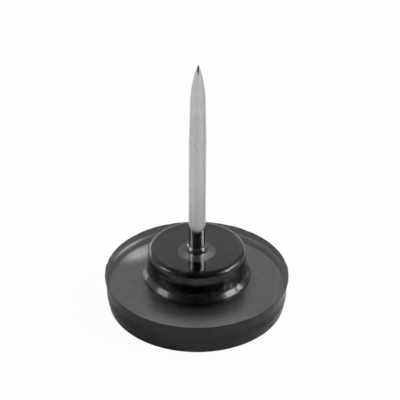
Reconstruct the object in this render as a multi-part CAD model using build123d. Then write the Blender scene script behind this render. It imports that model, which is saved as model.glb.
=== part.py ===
"""Push pin: a pointed steel needle moulded into a flat round head of tinted clear plastic.

Millimetres. The pin stands on the flat face of its head, with the needle up along +Z.
The origin is the centre of that face.
"""
import math
import os

from build123d import *

# Disc of the head, which the thumb presses; the lower part of its wall leans in
rim_diameter = 11.2
disc_thickness = 2.0
face_edge_radius = 0.06
draft_height = 0.7
wall_draft = 0.14

# Lip at the disc's upper edge, which flares out from the side wall
lip_overhang = 0.12
lip_height = 0.72
lip_land = 0.08

# Boss on the disc, whose flat top meets the board
boss_diameter = 6.0
boss_height = 1.95
boss_draft = 0.04
boss_edge_radius = 0.4

# Foot round the bottom of the boss: a low upright step and a slope
foot_width = 0.27
foot_step = 0.12
foot_slope_height = 0.34

# Needle above the boss: a low collar, a parallel shank, a slow taper and a bullet point
wire_diameter = 1.04
collar_width = 0.06
collar_height = 0.18
collar_edge_radius = 0.05
parallel_length = 7.47
taper_length = 2.5
taper_end_diameter = 0.94
point_length = 2.7
tip_radius = 0.05

# Needle inside the head: an upset flange with a coned top, from which the collar leans up;
# plastic covers the flange's rim and the wire's end
collar_lean = 0.07
flange_diameter = 2.32
flange_thickness = 0.3
flange_rise = 0.26
flange_cover = 0.6
face_cover = 0.6


def turned(outline):
    """The solid that a closed outline, drawn as radius and height, sweeps in one turn about Z."""
    return revolve(Plane.XZ * make_face(outline), Axis.Z)


def corner_arc(before, corner, after, radius):
    """The arc that rounds the corner between two straight sides, from the first side to the second."""
    corner = Vector(*corner)
    back = (Vector(*before) - corner).normalized()
    ahead = (Vector(*after) - corner).normalized()
    half_angle = math.radians(back.get_angle(ahead)) / 2
    reach = radius / math.tan(half_angle)
    depth = radius / math.sin(half_angle) - radius
    middle = corner + (back + ahead).normalized() * depth
    return ThreePointArc(corner + back * reach, middle, corner + ahead * reach)


def needle_solid(boss_top):
    """The needle: buried wire, flange, collar, bare wire, taper, and a bullet point with a round tip."""
    wire_radius = wire_diameter / 2
    flange_radius = flange_diameter / 2
    collar_radius = wire_radius + collar_width
    taper_end_radius = taper_end_diameter / 2
    flange_rim = boss_top - flange_cover
    collar_foot = (collar_radius + collar_lean, flange_rim + flange_rise)
    collar_top = boss_top + collar_height
    taper_start = collar_top + parallel_length
    point_start = taper_start + taper_length
    tip = point_start + point_length

    # The point's side is an arc that leaves the taper upright and runs tangent into the tip's circle
    rise_to_tip_center = point_length - tip_radius
    point_arc_radius = (taper_end_radius**2 - tip_radius**2 + rise_to_tip_center**2) / (
        2 * (taper_end_radius - tip_radius)
    )
    arc_share = point_arc_radius / (point_arc_radius - tip_radius)
    point_arc_center = taper_end_radius - point_arc_radius
    point_arc_end = (point_arc_center * (1 - arc_share), point_start + rise_to_tip_center * arc_share)

    collar_edge = corner_arc(
        collar_foot, (collar_radius, collar_top), (wire_radius, collar_top), collar_edge_radius
    )
    buried = Polyline(
        (0, tip),
        (0, face_cover),
        (wire_radius, face_cover),
        (wire_radius, flange_rim - flange_thickness),
        (flange_radius, flange_rim - flange_thickness),
        (flange_radius, flange_rim),
        collar_foot,
        collar_edge @ 0,
    )
    shank = Polyline(
        collar_edge @ 1,
        (wire_radius, collar_top),
        (wire_radius, taper_start),
        (taper_end_radius, point_start),
    )
    point_arc = TangentArc((taper_end_radius, point_start), point_arc_end, tangent=(0, 1))
    tip_arc = TangentArc((0, tip), point_arc_end, tangent=(1, 0))
    return turned(buried + collar_edge + shank + point_arc + tip_arc)


def head_blank(boss_top):
    """The moulding before the needle's room is taken out of it."""
    rim_radius = rim_diameter / 2
    wall_radius = rim_radius - lip_overhang
    face_radius = wall_radius - wall_draft
    draft_top = (wall_radius, draft_height)
    lip_top = disc_thickness - lip_land
    boss_radius = boss_diameter / 2
    foot_radius = boss_radius + foot_width
    step_top = disc_thickness + foot_step
    foot_top = (boss_radius, step_top + foot_slope_height)

    face_edge = corner_arc((0, 0), (face_radius, 0), draft_top, face_edge_radius)
    boss_edge = corner_arc(foot_top, (boss_radius - boss_draft, boss_top), (0, boss_top), boss_edge_radius)
    face = Polyline((0, boss_top), (0, 0), face_edge @ 0)
    side = Polyline(
        face_edge @ 1,
        draft_top,
        (wall_radius, lip_top - lip_height),
        (rim_radius, lip_top),
        (rim_radius, disc_thickness),
        (foot_radius, disc_thickness),
        (foot_radius, step_top),
        foot_top,
        boss_edge @ 0,
    )
    seat = Line(boss_edge @ 1, (0, boss_top))
    return turned(face + face_edge + side + boss_edge + seat)


boss_top = disc_thickness + boss_height
steel_needle = needle_solid(boss_top)
plastic_head = head_blank(boss_top) - steel_needle

os.makedirs("parts", exist_ok=True)
export_step(steel_needle, "parts/steel_needle.step")
export_step(plastic_head, "parts/plastic_head.step")
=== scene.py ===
"""Push pin: a pointed steel needle moulded into a flat round head of smoke-tinted clear plastic.

The sizes of the pieces and the places in their finishes are in millimetres. The finished meshes, the lamps
and the camera are in metres.
"""
import math

import bpy
import numpy as np
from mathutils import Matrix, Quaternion, Vector


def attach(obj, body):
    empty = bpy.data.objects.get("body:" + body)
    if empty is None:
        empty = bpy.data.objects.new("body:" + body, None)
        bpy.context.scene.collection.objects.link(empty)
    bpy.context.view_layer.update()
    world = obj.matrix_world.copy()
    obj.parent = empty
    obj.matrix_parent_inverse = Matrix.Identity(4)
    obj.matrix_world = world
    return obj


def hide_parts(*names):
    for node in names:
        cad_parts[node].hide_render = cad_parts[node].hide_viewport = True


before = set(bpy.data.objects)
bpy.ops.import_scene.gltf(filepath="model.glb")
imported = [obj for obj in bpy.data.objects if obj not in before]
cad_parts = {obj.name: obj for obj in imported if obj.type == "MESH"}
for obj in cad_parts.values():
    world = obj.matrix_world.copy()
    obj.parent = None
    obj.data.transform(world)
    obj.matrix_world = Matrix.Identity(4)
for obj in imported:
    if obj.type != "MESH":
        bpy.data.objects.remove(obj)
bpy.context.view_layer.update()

# The needle is drawn steel wire, satin all over, with a bullet point ground on its upper end. Inside the
# head it has a forged flange with a coned top, and above that a collar that leans in as it leaves the
# plastic, so the moulding can't let go of it.
mm = 1e-3
boss_top = 3.95
wire_radius = 0.52
collar_radius = 0.58
collar_foot_radius = 0.65
collar_top = boss_top + 0.18
taper_start = 11.6
point_start = taper_start + 2.5
needle_tip = point_start + 2.7
taper_end_radius = 0.47
tip_radius = 0.05
stem_end = 0.6
flange_radius = 1.16
flange_rim = boss_top - 0.6
flange_crown = boss_top - 0.34
flange_thickness = 0.3
flange_bottom = flange_rim - flange_thickness
stem_end_round = 0.1
flange_root_round = 0.05
flange_round = 0.08
collar_round = 0.05
collar_root_round = 0.01
taper_round = 0.5
needle_sides = 144
point_steps = 40
tip_steps = 9


def arc(center, radius, start, stop, steps):
    """Points of a circle, as radius and height: center + radius * (cos a, sin a), a in degrees."""
    angle = np.radians(np.linspace(start, stop, steps))
    return np.stack([center[0] + radius * np.cos(angle), center[1] + radius * np.sin(angle)], -1)


def rounded(corners, steps=9, margin=0.02):
    """A line through corners (radius, height, round), each corner an arc tangent to its two sides.

    The arc starts round * tan(half the turn) from the corner. One more point stands a margin outside each
    end of the arc, so that the flat sides keep flat shading.
    """
    corners = np.array(corners, float)
    line = [corners[:1, :2]]
    for before, here, after in zip(corners[:-2], corners[1:-1], corners[2:]):
        into, out = (here - before)[:2], (after - here)[:2]
        into, out = into / np.linalg.norm(into), out / np.linalg.norm(out)
        turn = math.acos(np.clip(into @ out, -1, 1))
        if here[2] == 0 or turn < 1e-4:
            line.append(here[None, :2])
            continue
        reach = here[2] * math.tan(turn / 2)
        angle = np.linspace(0, turn, steps)[:, None]
        side = np.sign(into[0] * out[1] - into[1] * out[0]) * np.array([-into[1], into[0]])
        bend = here[:2] - into * reach + here[2] * (np.sin(angle) * into + (1 - np.cos(angle)) * side)
        line += [bend[:1] - into * margin, bend, bend[-1:] + out * margin]
    return np.vstack(line + [corners[-1:, :2]])


def lathe(name, profile, angle, swell=0.0):
    """Surface of revolution: the profile's point (r, z) at angle a goes to (r cos a, r sin a, z).

    The profile runs from the axis below to the axis above, in millimetres, and each end is one vertex.
    The angles go once round, and swell is added to r: one value, or one for each point and angle.
    """
    around = len(angle)
    ring = profile[1:-1]
    rows = len(ring)
    radius = ring[:, :1] + swell
    points = np.stack(
        [radius * np.cos(angle), radius * np.sin(angle), np.repeat(ring[:, 1:], around, 1)], -1
    ).reshape(-1, 3)
    poles = [[0, 0, profile[0, 1]], [0, 0, profile[-1, 1]]]
    row, col = np.meshgrid(np.arange(rows - 1) * around, np.arange(around), indexing="ij")
    after = (col + 1) % around
    sides = np.stack([row + col, row + after, row + around + after, row + around + col], -1).reshape(-1, 4)
    col, after = col[0], after[0]
    last = (rows - 1) * around
    below = np.stack([np.full(around, rows * around), after, col], -1)
    above = np.stack([np.full(around, rows * around + 1), last + col, last + after], -1)
    faces = sides.tolist() + below.tolist() + above.tolist()
    mesh = bpy.data.meshes.new(name)
    mesh.from_pydata((np.vstack([points, poles]) * mm).tolist(), [], faces)
    mesh.polygons.foreach_set("use_smooth", np.ones(len(faces), bool))
    piece = bpy.data.objects.new(name, mesh)
    bpy.context.scene.collection.objects.link(piece)
    return piece


class Wire:
    """A socket in a node tree. Arithmetic on it adds Math nodes, and node() adds any other node."""

    def __init__(self, tree, socket=None):
        self.tree = tree
        self.socket = socket

    def node(self, kind, settings, values, output=0):
        """Adds a node: its settings first, then the value or the link of each named or numbered socket."""
        made = self.tree.nodes.new("ShaderNode" + kind)
        for key, setting in settings.items():
            setattr(made, key, setting)
        for key, value in values.items():
            if isinstance(value, Wire):
                self.tree.links.new(value.socket, made.inputs[key])
            else:
                made.inputs[key].default_value = value
        return Wire(self.tree, made.outputs[output] if made.outputs else None)

    def place(self):
        """Object coordinates, in millimetres."""
        return self.node("TexCoord", {}, {}, "Object").vector("MULTIPLY", (1 / mm, 1 / mm, 1 / mm))

    def axis(self, name):
        return self.node("SeparateXYZ", {}, {"Vector": self}, name)

    def vector(self, operation, second=(0, 0, 0), output=0):
        return self.node("VectorMath", {"operation": operation}, {0: self, 1: second}, output)

    def noise(self, scale, detail, roughness=0.5):
        """Cloudy values about 0.5, from this vector times scale."""
        values = {"Vector": self, "Scale": scale, "Detail": detail, "Roughness": roughness}
        return self.node("TexNoise", {}, values, "Fac")

    def ramp(self, start, stop, low=0.0, high=1.0, ease="LINEAR"):
        """The value carried from start and stop to low and high, and held beyond them."""
        ends = {"From Min": start, "From Max": stop, "To Min": low, "To Max": high}
        return self.node("MapRange", {"interpolation_type": ease}, {"Value": self, **ends}, "Result")

    def math(self, operation, first, second):
        return self.node("Math", {"operation": operation}, {0: first, 1: second})

    def __add__(self, other):
        return self.math("ADD", self, other)

    def __sub__(self, other):
        return self.math("SUBTRACT", self, other)

    def __rsub__(self, other):
        return self.math("SUBTRACT", other, self)

    def __mul__(self, other):
        return self.math("MULTIPLY", self, other)

    __radd__ = __add__
    __rmul__ = __mul__


def finish_of(name):
    """A new material with an empty node tree, and the wire that starts its expressions."""
    material = bpy.data.materials.new(name)
    material.use_nodes = True
    material.node_tree.nodes.clear()
    return material, Wire(material.node_tree)


stem = rounded(
    [
        (0, stem_end, 0),
        (wire_radius, stem_end, stem_end_round),
        (wire_radius, flange_bottom, flange_root_round),
        (flange_radius, flange_bottom, flange_round),
        (flange_radius, flange_rim, flange_round),
        (collar_foot_radius, flange_crown, flange_root_round),
        (collar_radius, collar_top, collar_round),
        (wire_radius, collar_top, collar_root_round),
        (wire_radius, taper_start, taper_round),
        (taper_end_radius, point_start, 0),
    ]
)
point_rise = needle_tip - tip_radius - point_start
point_curve = (taper_end_radius**2 - tip_radius**2 + point_rise**2) / (2 * (taper_end_radius - tip_radius))
lean = math.degrees(math.asin(point_rise / (point_curve - tip_radius)))
needle_profile = np.vstack(
    [
        stem,
        arc((taper_end_radius - point_curve, point_start), point_curve, 0, lean, point_steps)[1:],
        arc((0, needle_tip - tip_radius), tip_radius, lean, 90, tip_steps)[1:],
    ]
)
needle_profile[-1, 0] = 0
needle = lathe("needle", needle_profile, np.linspace(0, 2 * np.pi, needle_sides, endpoint=False))

steel_grey = 0.47
streak_side = (0.78, -0.62, 0)
steel, wire = finish_of("satin_steel")
place = wire.place()
height = place.axis("Z")
outwards = place.vector("MULTIPLY", (1, 1, 0))
around = outwards.vector("NORMALIZE")
drawn = place.vector("MULTIPLY", (30, 30, 0.7)).noise(1.0, 3.0, 0.6)
cloud = place.vector("MULTIPLY", (6, 6, 2.2)).noise(1.0, 3.0)
die = around.noise(2.4, 2.0)
streak = around.vector("DOT_PRODUCT", streak_side, "Value").ramp(0.955, 0.985, ease="SMOOTHSTEP")
ground = height.ramp(point_start - 1.0, point_start - 0.2, ease="SMOOTHSTEP")
buried = height.ramp(boss_top - 0.15, boss_top - 0.25)
forged = outwards.vector("LENGTH", output="Value").ramp(collar_foot_radius + 0.01, collar_foot_radius + 0.05)
# The wire's grey varies at random along and around it. It is a little lighter on the ground point, darker
# inside the plastic, lighter on the flange, and darker in a narrow streak down one side.
wear = 0.14 * (drawn - 0.5) + 0.16 * (cloud - 0.5) + 0.2 * (die - 0.5) + 0.03 * ground
level = (steel_grey + wear) * (1.0 - 0.5 * buried + 0.35 * forged) * (1.0 - 0.14 * streak)
grey = wire.node("CombineColor", {}, {0: level, 1: level, 2: level * 1.01})
relief = wire.node("Bump", {}, {"Strength": 0.15, "Distance": 0.02 * mm, "Height": drawn})
shader = wire.node(
    "BsdfPrincipled",
    {},
    {
        "Base Color": grey,
        "Metallic": 1.0,
        "Roughness": 0.1 + 0.08 * (drawn - 0.5) + 0.2 * buried + 0.2 * forged,
        "Normal": relief,
    },
)
wire.node("OutputMaterial", {}, {"Surface": shader})
needle.data.materials.append(steel)
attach(needle, "root")
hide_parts("steel_needle")

# The head is one moulding of smoke-tinted clear plastic, glossy from a polished mould. A flat disc carries
# a fine lip at its upper edge and a round boss with a stepped and sloped foot and a soft, scuffed top edge.
# The boss has sunk a little on its near side, and the lip has small nicks from use.
rim_radius = 5.6
face_radius = 5.34
wall_radius = 5.48
draft_top = 0.7
disc_top = 2.0
lip_bottom = 1.2
lip_land = 1.92
boss_radius = 3.0
boss_top_radius = 2.96
foot_radius = 3.27
step_top = disc_top + 0.12
foot_top = step_top + 0.34
face_round = 0.06
draft_round = 0.3
lip_root_round = 0.2
lip_land_round = 0.02
lip_round = 0.03
step_foot_round = 0.03
step_round = 0.08
foot_round = 0.3
boss_round = 0.4
sink_depth = 0.045
sink_from = 3.2
sink_full = 3.58
sink_reach = 0.52
nick_count = 40
nick_middle = disc_top - 0.02
nick_spread = 0.05
head_sides = 512
wall_rows = np.linspace(sink_from - 0.1, sink_full - 0.08, 13)
wall_radii = np.interp(wall_rows, [foot_top, boss_top], [boss_radius, boss_top_radius])
head_profile = rounded(
    [
        (0, 0, 0),
        (face_radius, 0, face_round),
        (wall_radius, draft_top, draft_round),
        (wall_radius, lip_bottom, lip_root_round),
        (rim_radius, lip_land, lip_land_round),
        (rim_radius, disc_top, lip_round),
        (foot_radius, disc_top, step_foot_round),
        (foot_radius, step_top, step_round),
        (boss_radius, foot_top, foot_round),
        *np.stack([wall_radii, wall_rows, 0 * wall_rows], -1),
        (boss_top_radius, boss_top, boss_round),
        (0, boss_top, 0),
    ],
    steps=13,
)


def turned(angle, about):
    """Angles counted from about, within half a turn either way."""
    return np.angle(np.exp(1j * (angle - about)))


angle = np.linspace(0, 2 * np.pi, head_sides, endpoint=False)
radius, height = head_profile[1:-1, :1], head_profile[1:-1, 1:]
ripple = np.sin(5 * angle + 0.6) + np.sin(9 * angle + 2.0) + 0.6 * np.sin(17 * angle + 4.1)
rise = np.clip((height - sink_from) / (sink_full - sink_from), 0, 1)
near_side = np.exp(-((turned(angle, -np.pi / 2) / sink_reach) ** 4))
sink = sink_depth * (1 + 0.3 * ripple) * near_side * rise**2 * (3 - 2 * rise)
knocks = np.random.default_rng(7)
nick_angle = knocks.uniform(0, 2 * np.pi, nick_count)
nick_width = knocks.uniform(0.015, 0.04, nick_count)
nick_depth = knocks.uniform(0.008, 0.03, nick_count)
nicks = (nick_depth * np.exp(-((turned(angle[:, None], nick_angle) / nick_width) ** 2))).sum(1)
at_the_lip = np.exp(-(((height - nick_middle) / nick_spread) ** 2)) * (radius > rim_radius - 0.1)
head = lathe("moulded_head", head_profile, angle, -sink - nicks * at_the_lip)

clearness = 0.84
refraction = 1.5
tint_grey = 0.2
tint_density = 0.94 / mm
plastic, wire = finish_of("smoke_plastic")
place = wire.place()
height = place.axis("Z")
spread = place.vector("MULTIPLY", (1, 1, 0)).vector("LENGTH", output="Value")
flow = place.noise(0.26, 1.0)
haze = place.noise(2.6, 4.0, 0.65)
satin = height.ramp(foot_top + 0.19, foot_top - 0.01)
edge = spread.ramp(boss_top_radius - 0.56, boss_top_radius - 0.26)
scuffed = edge * height.ramp(boss_top - 0.85, boss_top - 0.65)
level = clearness + 0.9 * (haze - 0.5)
tone = wire.node("CombineColor", {}, {0: level, 1: level, 2: level})
waves = wire.node("Bump", {}, {"Strength": 0.25, "Distance": 0.1 * mm, "Height": flow})
shader = wire.node(
    "BsdfPrincipled",
    {},
    {
        "Base Color": tone,
        "Roughness": 0.06 + 0.04 * haze + 0.12 * satin + 0.14 * scuffed,
        "IOR": refraction,
        "Transmission Weight": 1.0,
        "Normal": waves,
    },
)
smoke = (tint_grey, tint_grey, tint_grey, 1)
tint = wire.node("VolumeAbsorption", {}, {"Color": smoke, "Density": tint_density})
wire.node("OutputMaterial", {}, {"Surface": shader, "Volume": tint})
head.data.materials.append(plastic)
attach(head, "root")
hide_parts("plastic_head")

# The table is a plain white sheet. It shows white to the camera, with a trace of the pin's shadow. In
# reflections and through the plastic its white fades out near the pin: a painted shadow. Through the plastic
# it shows dimmer, most of all under the boss, a painted shadow of the head that is lighter on the near side.
# It has a painted pool of light at the back left, standing for light that the head gathers.
sheet_half = 600 * mm
sheet_level = -0.02 * mm
sheet_grey = 0.65
camera_white = 0.97
mirror_white = 0.74
open_white = 0.2
shade_middle = (0, -1.5, 0)
shade_radius = 7.0
shade_end = 13.0
under_white = 0.38
under_boss = 2.1
under_disc = 3.7
front_gain = 0.8
front_from = -2.8
front_full = -3.6
caustic_paint_strength = 2.6
spot_middle = (-3.6, 3.4, 0)
spot_half = (1.7, 0.9, 1)
spot_turn = 0.72
full_white = (1, 1, 1, 1)
corners = [(-1, -1), (1, -1), (1, 1), (-1, 1)]
sheet = bpy.data.meshes.new("table")
sheet.from_pydata([(x * sheet_half, y * sheet_half, sheet_level) for x, y in corners], [], [(0, 1, 2, 3)])
table = bpy.data.objects.new("table", sheet)
bpy.context.scene.collection.objects.link(table)
white, wire = finish_of("white_sheet")
matt = wire.node("BsdfDiffuse", {}, {"Color": (sheet_grey, sheet_grey, sheet_grey, 1)})
glow = wire.node("Emission", {}, {"Color": full_white, "Strength": 1.0})
painted_caustic = wire.node("Emission", {}, {"Color": full_white, "Strength": caustic_paint_strength})
rays = ("Is Camera Ray", "Is Glossy Ray", "Is Transmission Ray")
seen, mirrored, through = (wire.node("LightPath", {}, {}, ray) for ray in rays)
place = wire.place()
# Painted shadow: reflections and views through the plastic lose the sheet's white within 13 mm of a point
# just in front of the pin.
clear = place.vector("DISTANCE", shade_middle, "Value").ramp(shade_radius, shade_end)
# Painted shadow of the head on the sheet beneath it, seen through the plastic: no white under the boss, more
# towards the rim, and more on the near side.
nearer = place.axis("Y").ramp(front_from, front_full)
painted_head_shadow = place.vector("LENGTH", output="Value").ramp(under_boss, under_disc, high=under_white)
painted_head_shadow = painted_head_shadow * (1.0 + front_gain * nearer)
# Painted pool of light at the back left, seen through the plastic, standing for light that the head gathers
# onto the sheet.
across_spot = wire.node(
    "Mapping",
    {"vector_type": "TEXTURE"},
    {"Vector": place, "Location": spot_middle, "Rotation": (0, 0, spot_turn), "Scale": spot_half},
)
spot = across_spot.vector("LENGTH", output="Value").ramp(1.0, 0.1, ease="SMOOTHSTEP")
lit = seen * camera_white + mirrored * clear * mirror_white + through * (painted_head_shadow + clear * open_white)
shown = wire.node("MixShader", {}, {0: lit, 1: matt, 2: glow})
shown = wire.node("MixShader", {}, {0: through * spot, 1: shown, 2: painted_caustic})
wire.node("OutputMaterial", {}, {"Surface": shown})
sheet.materials.append(white)

# The studio is white behind and beside the pin, and dark above and behind the camera. A softbox stands on
# each side, with two small lamps beside the right one, and a low one stands behind on the left. Two wide
# fills, on the right and above, light the table and leave no reflections.
lamp_distance = 0.3
front_white = 0.025
low_white = 0.6
ceiling_white = 0.065
right_white = 0.45
studio = bpy.data.worlds.new("studio")
bpy.context.scene.world = studio
studio.use_nodes = True
studio.node_tree.nodes.clear()
wire = Wire(studio.node_tree)
aim = wire.node("TexCoord", {}, {}, "Generated")
behind = aim.axis("Y").ramp(-0.75, -0.1, front_white, 1.0)
overhead = aim.axis("Z").ramp(0.65, 0.85, low_white, ceiling_white)
aside = aim.axis("X").ramp(0.3, 0.6, 1.0, right_white)
wall = behind * overhead * aside
seen, mirrored, through = (wire.node("LightPath", {}, {}, ray) for ray in rays)
whiter = (seen + (mirrored + through) * wall) * (1.0 - wall)
sky = wire.node("Background", {}, {"Color": full_white, "Strength": wall + whiter})
wire.node("OutputWorld", {}, {"Surface": sky})


def softbox(name, azimuth, elevation, width, height, radiance):
    """A rectangular lamp at the lamp distance and aimed at the pin. Azimuth 0 is behind the pin.

    Its power in watts is radiance * pi * area.
    """
    a, e = math.radians(azimuth), math.radians(elevation)
    out = Vector((math.sin(a) * math.cos(e), math.cos(a) * math.cos(e), math.sin(e)))
    lamp = bpy.data.lights.new(name, "AREA")
    lamp.shape = "RECTANGLE"
    lamp.size = width
    lamp.size_y = height
    lamp.energy = radiance * math.pi * width * height
    holder = bpy.data.objects.new(name, lamp)
    holder.location = out * lamp_distance
    holder.rotation_mode = "QUATERNION"
    holder.rotation_quaternion = out.to_track_quat("Z", "Y")
    bpy.context.scene.collection.objects.link(holder)
    return holder


softbox("right_box", 103, 29, 0.097, 0.106, 8.6)
softbox("right_strip", 84.2, 34.5, 0.072, 0.018, 12.0)
softbox("right_spot", 78.5, 19.5, 0.048, 0.042, 10.0)
softbox("left_box", -103, 29, 0.11, 0.1, 5.5)
softbox("back_box", -40, 5, 0.15, 0.05, 4.5)
softbox("right_fill", 94, 32, 0.185, 0.16, 5.4).visible_glossy = False
softbox("top_fill", 0, 62, 0.25, 0.25, 1.6).visible_glossy = False

# The camera looks down at the pin from 34 degrees, through a long lens 168 mm away, with a slight roll.
view_tilt = math.radians(33.963)
view_roll = math.radians(0.433)
view_distance = 0.168
view_middle = Vector((0.000163, 0, 0.007384))
focal_length = 252.72
back = Vector((0, -math.cos(view_tilt), math.sin(view_tilt)))
lens = bpy.data.cameras.new("camera")
lens.sensor_width = 36
lens.lens = focal_length
lens.clip_start = 0.001
lens.clip_end = 10
camera = bpy.data.objects.new("camera", lens)
camera.location = view_middle + back * view_distance
camera.rotation_mode = "QUATERNION"
camera.rotation_quaternion = back.to_track_quat("Z", "Y") @ Quaternion((0, 0, 1), view_roll)
bpy.context.scene.collection.objects.link(camera)
bpy.context.scene.camera = camera
bpy.context.scene.view_settings.view_transform = "Standard"
